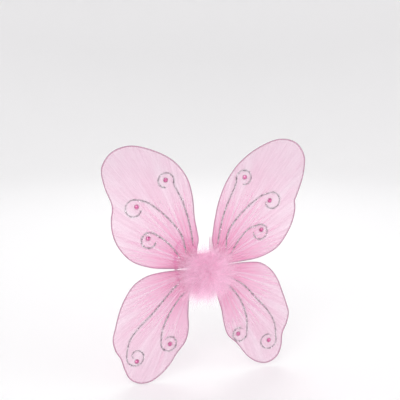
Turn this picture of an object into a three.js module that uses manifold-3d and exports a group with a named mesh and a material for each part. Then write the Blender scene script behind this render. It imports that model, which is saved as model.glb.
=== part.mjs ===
// Child's fairy wings: four wire loops in nylon sleeves, held by a ribbon binding with a felt back pad.
// Millimetres, +Z up, +X to the right of the decorated face, which looks along -Y.
// The origin is the middle of the back pad's flat rear face, which lies against the wearer's back.
import * as THREE from 'three';
import Module from 'manifold-3d';
import { mergeVertices } from 'three/addons/utils/BufferGeometryUtils.js';

const wasm = await Module();
wasm.setup();

// ---- driving dimensions ----
const GAP = 0.3;
const WELD = 1e-4;

const PAD = { width: 44, height: 46, thickness: 3, corner: 8, arcSteps: 5 };
const BINDING = { width: 16, height: 32, front: -13.5, corner: 4, arcSteps: 4 };
const WING_Y = -9;

const WIRE_RADIUS = 0.9;
const WIRE_SIDES = 6;
const WIRE_STEPS = 76;
const NECK_Z = 6;
const NECK_SPREAD = 1.2;

const STEM = { inner: 1.5, outer: 9.6, radius: 1.8, sides: 12 };
const TIE = { start: 14, length: 4, wallDepth: 1.7, wallHeight: 1.3, clearance: 0.3, arcSteps: 12 };

const NYLON = { thickness: 0.8, start: 28, edgeGap: 0.4 };

// A swirl's section rises to its height over a shoulder; both shoulder numbers are shares of the whole.
const SWIRL = { width: 2.4, height: 0.9, shoulderWidth: 0.8, shoulderHeight: 0.6, steps: 44, curlPoints: 16 };
const GEM = { radius: 4.1, height: 3, girdle: 0.7, table: 0.6, sides: 10 };

const PUFF = { halfWidth: 14, halfDepth: 11.5, halfHeight: 36, y: -26, z: -12, sides: 16, rings: 12 };

// Each strap leaves the pad's top edge and comes back to its bottom edge; its route is [y, z] from the pad.
const STRAP = { x: 15, y: -1.6, width: 7, thickness: 1, steps: 46, splay: 20, start: PAD.height / 2 + 1 };
const STRAP_ROUTE = [
  [0, STRAP.start], [1.5, 33], [10, 42], [25, 44.5], [40, 40], [52, 27], [57, 6], [55, -18], [46, -38],
  [28, -50], [9, -46], [1, -34], [0, -STRAP.start],
];

// ---- materials ----
function finish(color, roughness, metalness) {
  return new THREE.MeshStandardMaterial({ color, roughness, metalness });
}

const steel = () => finish(0xc9b9c6, 0.35, 0.8);
const nylon = () => finish(0xf2bfdc, 0.6, 0);
const glitter = () => finish(0xc8c3cd, 0.4, 0.6);
const rhinestone = () => finish(0xc81e78, 0.1, 0.1);
const marabou = () => finish(0xf4c9dd, 0.9, 0);
const ribbon = () => finish(0xeeb0cf, 0.6, 0);
const thread = () => finish(0xf0c4da, 0.8, 0);
const felt = () => finish(0xe9a3c6, 0.95, 0);
const elastic = () => finish(0xf7e3ee, 0.8, 0);

// ---- the lobes: each loop's wire runs from its upper or inner end round to its other end, as [x, z] ----
const LOBES = {
  upper_left: {
    outline: [
      [-11.6, 7.2], [-16.5, 7.2], [-21.5, 7.3], [-23.4, 12], [-19, 28], [-13.6, 49], [-16, 66], [-20.5, 88],
      [-24.5, 128], [-34, 160], [-57, 190], [-94, 211], [-136, 221], [-167, 211], [-183, 187], [-179, 156],
      [-168, 128], [-166, 117], [-168.5, 98], [-166, 72], [-155, 47], [-134, 24], [-101, 9.6], [-68, 4.2],
      [-38, 2.6], [-21.5, 4.7], [-16.5, 4.8], [-11.6, 4.8],
    ],
    swirls: {
      outer: {
        tail: [[-36, 27], [-44, 60], [-62, 86], [-88, 111], [-108, 125]],
        curl: { centre: [-129, 114.5], radius: 15.5, endRadius: 12.5, from: 75, sweep: 275 },
        gem: [-124.5, 117.5],
      },
      middle: {
        tail: [[-46, 18], [-62, 42], [-80, 59]],
        curl: { centre: [-103, 57], radius: 14, endRadius: 12.5, from: 65, sweep: 280 },
        gem: [-105, 61],
      },
      inner: {
        tail: [[-23, 40], [-27, 66], [-34, 96], [-43, 122]],
        curl: { centre: [-73, 158], radius: 15, endRadius: 10.5, from: -15, sweep: 290 },
        gem: [-73, 160],
      },
    },
  },
  upper_right: {
    outline: [
      [11.6, 7.2], [16.5, 7.2], [21.5, 7.3], [23, 12], [18, 28], [13.2, 46], [14.5, 62], [19, 90],
      [26, 118], [41, 152], [65, 182], [101, 206], [141, 218], [171, 210], [187.5, 187], [187, 154],
      [176, 119], [171, 107], [172, 92], [167, 68], [156, 46], [137, 23], [105, 8.6], [68, 4.2],
      [38, 3.1], [21.5, 4.7], [16.5, 4.8], [11.6, 4.8],
    ],
    swirls: {
      outer: {
        tail: [[38, 26], [42, 58], [60, 84], [82, 104], [104, 119]],
        curl: { centre: [126, 109], radius: 15.5, endRadius: 12, from: 115, sweep: -290 },
        gem: [121.5, 110],
      },
      middle: {
        tail: [[47, 18], [62, 42], [82, 62]],
        curl: { centre: [103.5, 54], radius: 14, endRadius: 12, from: 115, sweep: -300 },
        gem: [106, 58],
      },
      inner: {
        tail: [[22.5, 38], [26, 60], [32, 86], [40, 108]],
        curl: { centre: [72, 153], radius: 15, endRadius: 10.5, from: 195, sweep: -290 },
        gem: [73, 155],
      },
    },
  },
  lower_left: {
    outline: [
      [-11.6, -7.2], [-16.5, -7.2], [-21.5, -7.4], [-24, -14], [-27, -31], [-31, -50], [-33, -82],
      [-32.5, -111], [-39, -133], [-54, -151], [-68, -171], [-86, -188], [-105, -198], [-125, -197.5],
      [-141, -187], [-150, -168], [-156, -149], [-165, -134], [-169.5, -114], [-165, -93], [-157, -64],
      [-146, -40], [-130, -19], [-108, -6.5], [-82, -2], [-54, -1.3], [-37, -2.2], [-21.5, -4.7],
      [-16.5, -4.8], [-11.6, -4.8],
    ],
    swirls: {
      outer: {
        tail: [[-46, -19], [-68, -41], [-98, -73], [-124, -97], [-140, -118]],
        curl: { centre: [-129.5, -148.5], radius: 17, endRadius: 5, from: 165, sweep: 400 },
        gem: [-128, -157],
      },
      inner: {
        tail: [[-34, -38], [-51, -54], [-70, -82], [-81, -108]],
        curl: { centre: [-68.5, -131], radius: 15, endRadius: 10, from: 175, sweep: 315 },
        gem: [-67, -133],
      },
    },
  },
  lower_right: {
    outline: [
      [11.6, -7.2], [16.5, -7.2], [21.5, -7.4], [22.5, -14], [21, -34], [23.5, -55], [31.5, -83],
      [36, -108], [44, -131], [61, -148], [84, -177], [105, -191], [124, -193.5], [141, -184],
      [149, -166], [151, -142], [159.5, -122], [163, -103], [157.5, -83], [149, -60], [140, -38],
      [126, -18], [107, -4], [88, -0.2], [68, 0.5], [48, 0], [37, -1.6], [21.5, -4.7], [16.5, -4.8],
      [11.6, -4.8],
    ],
    swirls: {
      outer: {
        tail: [[46, -24], [70, -38], [100, -70], [121, -94], [135, -120]],
        curl: { centre: [122.5, -151], radius: 16.5, endRadius: 9.5, from: 20, sweep: -330 },
        gem: [124, -151],
      },
      inner: {
        tail: [[36, -32], [52, -46], [68, -70], [79, -100]],
        curl: { centre: [66, -131], radius: 14.5, endRadius: 10, from: 10, sweep: -310 },
        gem: [63, -131],
      },
    },
  },
};

// ---- helpers ----
const model = new THREE.Group();

function piece(name, geometry, material, parent = model) {
  const mesh = new THREE.Mesh(geometry, material);
  mesh.name = name;
  parent.add(mesh);
  return mesh;
}

function planeCurve(points, y) {
  const places = points.map(([x, z]) => new THREE.Vector3(x, y, z));
  return new THREE.CatmullRomCurve3(places, false, 'centripetal');
}

function roundedRectangle(width, height, corner) {
  const shape = new THREE.Shape();
  const right = width / 2 - corner;
  const top = height / 2 - corner;
  shape.absarc(right, top, corner, 0, Math.PI / 2);
  shape.absarc(-right, top, corner, Math.PI / 2, Math.PI);
  shape.absarc(-right, -top, corner, Math.PI, Math.PI * 1.5);
  shape.absarc(right, -top, corner, Math.PI * 1.5, Math.PI * 2);
  return shape;
}

function rectangle(width, height) {
  return new THREE.Shape([
    new THREE.Vector2(-width / 2, -height / 2),
    new THREE.Vector2(width / 2, -height / 2),
    new THREE.Vector2(width / 2, height / 2),
    new THREE.Vector2(-width / 2, height / 2),
  ]);
}

function disc(radius, sides) {
  const corners = [];
  for (let i = 0; i < sides; i += 1) {
    const angle = (i / sides) * Math.PI * 2;
    corners.push(new THREE.Vector2(radius * Math.cos(angle), radius * Math.sin(angle)));
  }
  return new THREE.Shape(corners);
}

// Pushes a flat shape back from its own plane and stands it upright, so that its depth runs along Y.
function uprightPlate(shape, thickness, arcSteps) {
  const options = { depth: thickness, bevelEnabled: false, curveSegments: arcSteps };
  const plate = new THREE.ExtrudeGeometry(shape, options);
  plate.rotateX(Math.PI / 2);
  return plate;
}

// Sweeps a section along a curve in an upright plane; the section's x points out of that plane.
function sweep(section, path, steps) {
  return new THREE.ExtrudeGeometry(section, { steps, extrudePath: path, curveSegments: 1 });
}

function toSolid(geometry) {
  const bare = geometry.clone();
  bare.deleteAttribute('normal');
  bare.deleteAttribute('uv');
  const merged = mergeVertices(bare, WELD);
  return new wasm.Manifold(new wasm.Mesh({
    numProp: 3,
    vertProperties: new Float32Array(merged.attributes.position.array),
    triVerts: new Uint32Array(merged.index.array),
  }));
}

function fromSolid(solid) {
  const mesh = solid.getMesh();
  const geometry = new THREE.BufferGeometry();
  geometry.setAttribute('position', new THREE.BufferAttribute(mesh.vertProperties, 3));
  geometry.setIndex(new THREE.BufferAttribute(mesh.triVerts, 1));
  return geometry;
}

// ---- centre: back pad, binding with the four wire tails, marabou puff ----
function backPad() {
  const shape = roundedRectangle(PAD.width, PAD.height, PAD.corner);
  return uprightPlate(shape, PAD.thickness, PAD.arcSteps);
}

// A rod along X with its middle at x, in the wings' plane.
function rodAlongX(radius, length, x, z) {
  const rod = new THREE.CylinderGeometry(radius, radius, length, STEM.sides);
  rod.rotateZ(Math.PI / 2);
  rod.translate(x, WING_Y, z);
  return rod;
}

function centreBinding() {
  const back = -PAD.thickness - GAP;
  const depth = back - BINDING.front;
  const shape = roundedRectangle(BINDING.width, depth, BINDING.corner);
  const options = { depth: BINDING.height, bevelEnabled: false, curveSegments: BINDING.arcSteps };
  const block = new THREE.ExtrudeGeometry(shape, options);
  block.translate(0, (back + BINDING.front) / 2, -BINDING.height / 2);
  let solid = toSolid(block);
  for (const z of [NECK_Z, -NECK_Z]) {
    solid = solid.subtract(toSolid(rodAlongX(STEM.radius + GAP, BINDING.width * 2, 0, z)));
  }
  return fromSolid(solid);
}

function wireStem(side, level) {
  const length = STEM.outer - STEM.inner;
  return rodAlongX(STEM.radius, length, side * (STEM.inner + length / 2), level * NECK_Z);
}

function marabouPuff() {
  const puff = new THREE.SphereGeometry(1, PUFF.sides, PUFF.rings);
  puff.rotateX(Math.PI / 2);
  puff.scale(PUFF.halfWidth, PUFF.halfDepth, PUFF.halfHeight);
  puff.translate(0, PUFF.y, PUFF.z);
  return puff;
}

piece('back_pad', backPad(), felt());
piece('centre_binding', centreBinding(), ribbon());
piece('marabou_puff', marabouPuff(), marabou());

// ---- lobes ----
function wireLoop(outline) {
  return sweep(disc(WIRE_RADIUS, WIRE_SIDES), planeCurve(outline, WING_Y), WIRE_STEPS);
}

// The sleeve is a thin plate inside the loop, following the wire at a small gap.
function nylonPlate(outline) {
  const along = planeCurve(outline, 0).getSpacedPoints(WIRE_STEPS);
  const turn = Math.sign(THREE.ShapeUtils.area(along.map((p) => new THREE.Vector2(p.x, p.z))));
  const inset = WIRE_RADIUS + NYLON.edgeGap;
  const corners = [];
  for (let i = 1; i < along.length - 1; i += 1) {
    const direction = along[i + 1].clone().sub(along[i - 1]).normalize();
    const x = along[i].x - turn * direction.z * inset;
    const z = along[i].z + turn * direction.x * inset;
    const reach = Math.hypot(along[i].x, along[i].z);
    if (reach > NYLON.start) corners.push(new THREE.Vector2(x, z));
  }
  const plate = uprightPlate(new THREE.Shape(corners), NYLON.thickness, 1);
  plate.translate(0, WING_Y + NYLON.thickness / 2, 0);
  return plate;
}

function neckTie(side, level) {
  const halfDepth = WIRE_RADIUS + TIE.clearance;
  const halfHeight = NECK_SPREAD + WIRE_RADIUS + TIE.clearance;
  const ring = new THREE.Shape();
  ring.absellipse(0, 0, halfHeight + TIE.wallHeight, halfDepth + TIE.wallDepth, 0, Math.PI * 2);
  ring.holes.push(rectangle(halfHeight * 2, halfDepth * 2));
  const options = { depth: TIE.length, bevelEnabled: false, curveSegments: TIE.arcSteps };
  const tie = new THREE.ExtrudeGeometry(ring, options);
  tie.rotateY(Math.PI / 2);
  const x = side > 0 ? TIE.start : -TIE.start - TIE.length;
  tie.translate(x, WING_Y, level * NECK_Z);
  return tie;
}

const nylonFront = WING_Y - NYLON.thickness / 2 - GAP;

// A raised glitter line: its tail runs out from the middle and ends in an open curl.
function swirlLine({ tail, curl }) {
  const points = tail.map(([x, z]) => [x, z]);
  for (let i = 0; i <= SWIRL.curlPoints; i += 1) {
    const t = i / SWIRL.curlPoints;
    const angle = THREE.MathUtils.degToRad(curl.from + curl.sweep * t);
    const radius = THREE.MathUtils.lerp(curl.radius, curl.endRadius, t * t);
    points.push([curl.centre[0] + radius * Math.cos(angle), curl.centre[1] + radius * Math.sin(angle)]);
  }
  const half = SWIRL.width / 2;
  const shoulder = { width: half * SWIRL.shoulderWidth, height: SWIRL.height * SWIRL.shoulderHeight };
  const section = new THREE.Shape([
    new THREE.Vector2(0, -half),
    new THREE.Vector2(shoulder.height, -shoulder.width),
    new THREE.Vector2(SWIRL.height, 0),
    new THREE.Vector2(shoulder.height, shoulder.width),
    new THREE.Vector2(0, half),
  ]);
  return sweep(section, planeCurve(points, nylonFront), SWIRL.steps);
}

function gemStone([x, z]) {
  const profile = [
    new THREE.Vector2(0, 0),
    new THREE.Vector2(GEM.radius, 0),
    new THREE.Vector2(GEM.radius, GEM.girdle),
    new THREE.Vector2(GEM.radius * GEM.table, GEM.height),
    new THREE.Vector2(0, GEM.height),
  ];
  const stone = new THREE.LatheGeometry(profile, GEM.sides);
  stone.rotateX(Math.PI);
  stone.translate(x, nylonFront, z);
  return stone;
}

for (const [lobe, design] of Object.entries(LOBES)) {
  const level = lobe.startsWith('upper') ? 1 : -1;
  const side = lobe.endsWith('right') ? 1 : -1;
  piece(`wire_stem_${lobe}`, wireStem(side, level), steel());
  piece(`wire_loop_${lobe}`, wireLoop(design.outline), steel());
  piece(`nylon_${lobe}`, nylonPlate(design.outline), nylon());
  piece(`neck_tie_${lobe}`, neckTie(side, level), thread());
  for (const [place, swirl] of Object.entries(design.swirls)) {
    piece(`swirl_${lobe}_${place}`, swirlLine(swirl), glitter());
    piece(`gem_${lobe}_${place}`, gemStone(swirl.gem), rhinestone());
  }
}

// ---- arm straps: flat elastic loops behind the pad ----
function armStrap() {
  const places = STRAP_ROUTE.map(([y, z]) => new THREE.Vector3(0, y, z));
  const path = new THREE.CatmullRomCurve3(places, false, 'centripetal');
  return sweep(rectangle(STRAP.width, STRAP.thickness), path, STRAP.steps);
}

for (const [name, side] of [['left', -1], ['right', 1]]) {
  const hanger = new THREE.Group();
  hanger.position.set(side * STRAP.x, STRAP.y, 0);
  hanger.rotation.z = THREE.MathUtils.degToRad(-side * STRAP.splay);
  piece(`arm_strap_${name}`, armStrap(), elastic(), hanger);
  model.add(hanger);
}

export default model;
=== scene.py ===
"""Child's fairy wings: sheer nylon lobes on bent wire, with glitter swirls, stones, a marabou puff, a felt
pad and elastic arm straps. Everything is in metres: +Z is up and the decorated face looks along -Y."""

import logging
import math
from dataclasses import dataclass
from enum import Enum

import bpy
import numpy as np
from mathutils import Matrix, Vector


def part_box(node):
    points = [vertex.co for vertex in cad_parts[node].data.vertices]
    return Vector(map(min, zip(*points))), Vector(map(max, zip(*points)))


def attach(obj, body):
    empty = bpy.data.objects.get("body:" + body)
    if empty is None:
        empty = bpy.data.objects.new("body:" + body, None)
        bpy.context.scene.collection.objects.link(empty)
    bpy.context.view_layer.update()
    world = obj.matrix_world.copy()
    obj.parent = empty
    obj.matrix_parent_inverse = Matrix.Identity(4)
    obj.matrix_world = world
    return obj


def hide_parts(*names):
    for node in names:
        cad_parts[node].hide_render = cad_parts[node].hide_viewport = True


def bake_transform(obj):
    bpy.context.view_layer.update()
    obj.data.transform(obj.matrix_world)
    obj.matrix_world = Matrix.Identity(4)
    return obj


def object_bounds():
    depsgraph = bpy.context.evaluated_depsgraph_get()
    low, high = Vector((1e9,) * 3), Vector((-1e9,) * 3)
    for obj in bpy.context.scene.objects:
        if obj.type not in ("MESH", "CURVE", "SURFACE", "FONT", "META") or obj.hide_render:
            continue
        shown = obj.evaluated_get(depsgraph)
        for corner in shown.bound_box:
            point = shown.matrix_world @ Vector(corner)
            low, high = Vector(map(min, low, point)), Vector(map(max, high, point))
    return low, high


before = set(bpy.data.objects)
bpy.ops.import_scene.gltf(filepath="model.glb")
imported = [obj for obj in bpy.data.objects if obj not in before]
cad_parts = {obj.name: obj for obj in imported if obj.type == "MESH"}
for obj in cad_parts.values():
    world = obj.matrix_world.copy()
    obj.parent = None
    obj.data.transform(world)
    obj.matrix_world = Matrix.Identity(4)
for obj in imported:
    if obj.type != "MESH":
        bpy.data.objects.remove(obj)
cad_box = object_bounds()

log = logging.getLogger("fairy_wings")
MM = 0.001
WING_Y = -9 * MM
HUB = "hub"
GOLDEN_ANGLE = math.pi * (3 - math.sqrt(5))

Array = np.ndarray

FORWARD = np.array([0.0, -1.0, 0.0])
BACKWARD = -FORWARD


class Lobe(Enum):
    """The four lobes, each with its side (+1 is +X) and its level (+1 is up)."""

    UPPER_LEFT = ("upper_left", -1, 1)
    UPPER_RIGHT = ("upper_right", 1, 1)
    LOWER_LEFT = ("lower_left", -1, -1)
    LOWER_RIGHT = ("lower_right", 1, -1)

    @property
    def label(self) -> str:
        """The lobe's name as its nodes and bodies carry it."""
        return self.value[0]

    @property
    def side(self) -> int:
        """-1 for a left lobe and +1 for a right one."""
        return self.value[1]

    @property
    def level(self) -> int:
        """+1 for an upper lobe and -1 for a lower one."""
        return self.value[2]

    @property
    def body(self) -> str:
        """The moving body that the lobe belongs to."""
        return f"lobe_{self.label}"


class Slot(Enum):
    """The material slots."""

    WIRE = "wire"
    NYLON = "nylon"
    THREAD = "thread"
    GLITTER = "glitter"
    RHINESTONE = "rhinestone"
    MARABOU = "marabou"
    RIBBON = "ribbon"
    FELT = "felt"
    ELASTIC = "elastic"


# ---------------------------------------------------------------- lines and meshes


def front_line(node: str) -> Array:
    """Follows the line of points that a CAD node holds furthest towards the front.

    Args:
        node: a node swept along one open line in an upright plane.

    Returns:
        The points in order, one row each.
    """
    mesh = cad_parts[node].data
    keys = [tuple(round(c * 1e5) for c in v.co) for v in mesh.vertices]
    nearest = min(key[1] for key in keys)
    beside: dict[tuple, set] = {}
    for edge in mesh.edges:
        a, b = (keys[i] for i in edge.vertices)
        if a != b and max(a[1], b[1]) <= nearest + 1:
            beside.setdefault(a, set()).add(b)
            beside.setdefault(b, set()).add(a)
    ends = [key for key, others in beside.items() if len(others) == 1]
    line = [min(ends, key=lambda key: key[0] ** 2 + key[2] ** 2)]
    while True:
        onward = [key for key in beside[line[-1]] if key not in line[-2:]]
        if not onward:
            return np.array(line, float) * 1e-5
        line.append(onward[0])


def smooth_line(points: Array, count: int) -> Array:
    """Draws a smooth curve through points and samples it evenly.

    Args:
        points: the points that the curve goes through.
        count: how many samples to return.

    Returns:
        The samples, one row each.
    """
    points = np.asarray(points, float)
    gaps = np.linalg.norm(np.diff(points, axis=0), axis=1)
    along = np.concatenate([[0], np.cumsum(gaps)])
    slopes = np.gradient(points, along, axis=0)
    dense = np.linspace(0, along[-1], count * 4)
    k = np.clip(np.searchsorted(along, dense, side="right") - 1, 0, len(gaps) - 1)
    span = gaps[k][:, None]
    t = ((dense - along[k]) / gaps[k])[:, None]
    curve = (
        (2 * t**3 - 3 * t**2 + 1) * points[k]
        + (t**3 - 2 * t**2 + t) * span * slopes[k]
        + (3 * t**2 - 2 * t**3) * points[k + 1]
        + (t**3 - t**2) * span * slopes[k + 1]
    )
    length = np.concatenate([[0], np.cumsum(np.linalg.norm(np.diff(curve, axis=0), axis=1))])
    wanted = np.linspace(0, length[-1], count)
    return np.stack([np.interp(wanted, length, curve[:, axis]) for axis in range(3)], axis=1)


def unit(vectors: Array) -> Array:
    """Scales each row to length 1."""
    return vectors / np.maximum(np.linalg.norm(vectors, axis=-1, keepdims=True), 1e-12)


def smooth_step(values: Array) -> Array:
    """Eases values from 0 to 1 and holds them outside that range."""
    values = np.clip(values, 0, 1)
    return values * values * (3 - 2 * values)


class MeshParts:
    """Gathers vertices, faces, face materials and texture coordinates, and makes one object of them."""

    def __init__(self) -> None:
        """Starts empty."""
        self.vertices: list[Array] = []
        self.faces: list[tuple] = []
        self.materials: list[int] = []
        self.uvs: list[Array] = []
        self.count = 0

    def add(self, vertices: Array, faces: list, material: int = 0, uvs: Array | None = None) -> None:
        """Adds one part.

        Args:
            vertices: the part's points, one row each.
            faces: tuples of indices into vertices.
            material: the index of the material that the part takes.
            uvs: a texture coordinate for each vertex.
        """
        self.vertices.append(np.asarray(vertices, float))
        self.uvs.append(np.zeros((len(vertices), 2)) if uvs is None else np.asarray(uvs, float))
        self.faces += [tuple(int(i) + self.count for i in face) for face in faces]
        self.materials += [material] * len(faces)
        self.count += len(vertices)

    def build(self, name: str, materials: list[bpy.types.Material], smooth: bool = True) -> bpy.types.Object:
        """Makes the object.

        Args:
            name: the object's name.
            materials: the materials that the parts' indices mean.
            smooth: whether the faces are shaded smooth.

        Returns:
            The new object, linked to the scene.
        """
        mesh = bpy.data.meshes.new(name)
        mesh.from_pydata(np.concatenate(self.vertices).tolist(), [], self.faces)
        for material in materials:
            mesh.materials.append(material)
        mesh.polygons.foreach_set("material_index", self.materials)
        mesh.polygons.foreach_set("use_smooth", [smooth] * len(self.faces))
        corners = np.zeros(len(mesh.loops), int)
        mesh.loops.foreach_get("vertex_index", corners)
        layer = mesh.uv_layers.new(name="Along")
        layer.data.foreach_set("uv", np.concatenate(self.uvs)[corners].ravel())
        mesh.update()
        thing = bpy.data.objects.new(name, mesh)
        bpy.context.scene.collection.objects.link(thing)
        return thing


def grid_faces(rows: int, columns: int, wrap: bool = False) -> list[tuple]:
    """Lists the quads of a grid of points.

    Args:
        rows: how many rows the grid has.
        columns: how many points there are in a row.
        wrap: whether each row is joined into a ring.

    Returns:
        Tuples of indices into the points, row after row.
    """
    faces = []
    for row in range(rows - 1):
        for column in range(columns if wrap else columns - 1):
            here = row * columns + column
            beside = row * columns + (column + 1) % columns
            faces.append((here, beside, beside + columns, here + columns))
    return faces


def carried_frames(line: Array, start: Array) -> tuple[Array, Array]:
    """Carries a direction along a line without twist.

    Args:
        line: the points of the line.
        start: the direction to carry, roughly square to the line's first step.

    Returns:
        The carried directions, and the ones square to them and to the line.
    """
    tangents = unit(np.gradient(line, axis=0))
    carried = np.zeros_like(line)
    current = np.asarray(start, float)
    for i, tangent in enumerate(tangents):
        current = current - tangent * current.dot(tangent)
        current = current / max(np.linalg.norm(current), 1e-12)
        carried[i] = current
    return carried, np.cross(tangents, carried)


def sweep(line: Array, section: Array, start: Array, scale: Array | None = None) -> tuple[Array, list]:
    """Sweeps a closed section along a line and caps both ends.

    Args:
        line: the points of the line.
        section: the section's corners, measured along the carried direction and square to it.
        start: the direction that the section's first axis takes at the start.
        scale: a size for the section at each point.

    Returns:
        The vertices and the faces.
    """
    first, second = carried_frames(line, start)
    sizes = np.ones(len(line)) if scale is None else scale
    rings = (
        line[:, None, :]
        + section[None, :, 0, None] * first[:, None, :] * sizes[:, None, None]
        + section[None, :, 1, None] * second[:, None, :] * sizes[:, None, None]
    )
    sides = len(section)
    faces = grid_faces(len(line), sides, wrap=True)
    faces.append(tuple(reversed(range(sides))))
    faces.append(tuple(range((len(line) - 1) * sides, len(line) * sides)))
    return rings.reshape(-1, 3), faces


def round_section(radius: float, sides: int, flatten: float = 1.0) -> Array:
    """Lists a round section's corners, its second axis scaled by flatten."""
    angles = np.arange(sides) / sides * 2 * math.pi
    return np.stack([radius * np.cos(angles), radius * flatten * np.sin(angles)], axis=1)


# ---------------------------------------------------------------- shader node groups


class NodeGraph:
    """Short ways to add, set and join the nodes of one tree."""

    def __init__(self, tree: bpy.types.NodeTree) -> None:
        """Works on tree."""
        self.tree = tree

    def node(self, kind: str, **settings: object) -> bpy.types.Node:
        """Adds a node of one kind and sets its properties.

        Args:
            kind: the node's type, as Blender names it.
            **settings: the properties to set on it.

        Returns:
            The new node.
        """
        made = self.tree.nodes.new(kind)
        for key, value in settings.items():
            setattr(made, key, value)
        return made

    def feed(self, socket: bpy.types.NodeSocket, value: object) -> None:
        """Links value to socket if it is a socket, and sets it there if it is not.

        Args:
            socket: the input to feed.
            value: an output socket, a plain value, or None to leave the input as it is.
        """
        if isinstance(value, bpy.types.NodeSocket):
            self.tree.links.new(value, socket)
        elif value is not None:
            socket.default_value = value

    def maths(self, operation: str, a: object, b: object = None, c: object = None) -> bpy.types.NodeSocket:
        """Adds a Math node.

        Args:
            operation: what the node works out.
            a: the first socket or number.
            b: the second, if the operation takes one.
            c: the third, if it takes one.

        Returns:
            The result.
        """
        made = self.node("ShaderNodeMath", operation=operation)
        for socket, value in zip(made.inputs, (a, b, c)):
            self.feed(socket, value)
        return made.outputs[0]

    def noise(
        self, vector: object, scale: object, detail: float = 2.0, roughness: float = 0.5
    ) -> bpy.types.NodeSocket:
        """Adds a noise texture.

        Args:
            vector: where to look it up.
            scale: how fine the noise is.
            detail: how many finer layers it has.
            roughness: how strong the finer layers are.

        Returns:
            The noise's factor.
        """
        made = self.node("ShaderNodeTexNoise")
        self.feed(made.inputs["Vector"], vector)
        self.feed(made.inputs["Scale"], scale)
        made.inputs["Detail"].default_value = detail
        made.inputs["Roughness"].default_value = roughness
        return made.outputs["Fac"]

    def remap(
        self, value: object, low: float, high: float, to_low: object, to_high: object
    ) -> bpy.types.NodeSocket:
        """Maps a value from one range to another and clamps it.

        Args:
            value: the socket or number to map.
            low: the value that becomes to_low.
            high: the value that becomes to_high.
            to_low: where the new range starts.
            to_high: where the new range ends.

        Returns:
            The mapped value.
        """
        made = self.node("ShaderNodeMapRange")
        for socket, given in zip(made.inputs[:5], (value, low, high, to_low, to_high)):
            self.feed(socket, given)
        return made.outputs[0]

    def mix_colour(self, factor: object, a: object, b: object) -> bpy.types.NodeSocket:
        """Mixes two colours by a factor.

        Args:
            factor: 0 for the first colour and 1 for the second.
            a: the first colour.
            b: the second colour.

        Returns:
            The mixed colour.
        """
        made = self.node("ShaderNodeMix", data_type="RGBA")
        self.feed(made.inputs[0], factor)
        self.feed(made.inputs[6], a)
        self.feed(made.inputs[7], b)
        return made.outputs[2]

    def combine(self, x: object, y: object, z: object) -> bpy.types.NodeSocket:
        """Joins three numbers into a vector.

        Args:
            x: the first number.
            y: the second number.
            z: the third number.

        Returns:
            The vector.
        """
        made = self.node("ShaderNodeCombineXYZ")
        for socket, value in zip(made.inputs, (x, y, z)):
            self.feed(socket, value)
        return made.outputs[0]

    def group(self, tree: bpy.types.NodeTree, **values: object) -> bpy.types.Node:
        """Places a node group and feeds its named inputs.

        Args:
            tree: the node group.
            **values: a socket or value for each named input.

        Returns:
            The group's node, whose outputs are asked for by name.
        """
        made = self.node("ShaderNodeGroup")
        made.node_tree = tree
        for key, value in values.items():
            self.feed(made.inputs[key], value)
        return made


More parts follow.
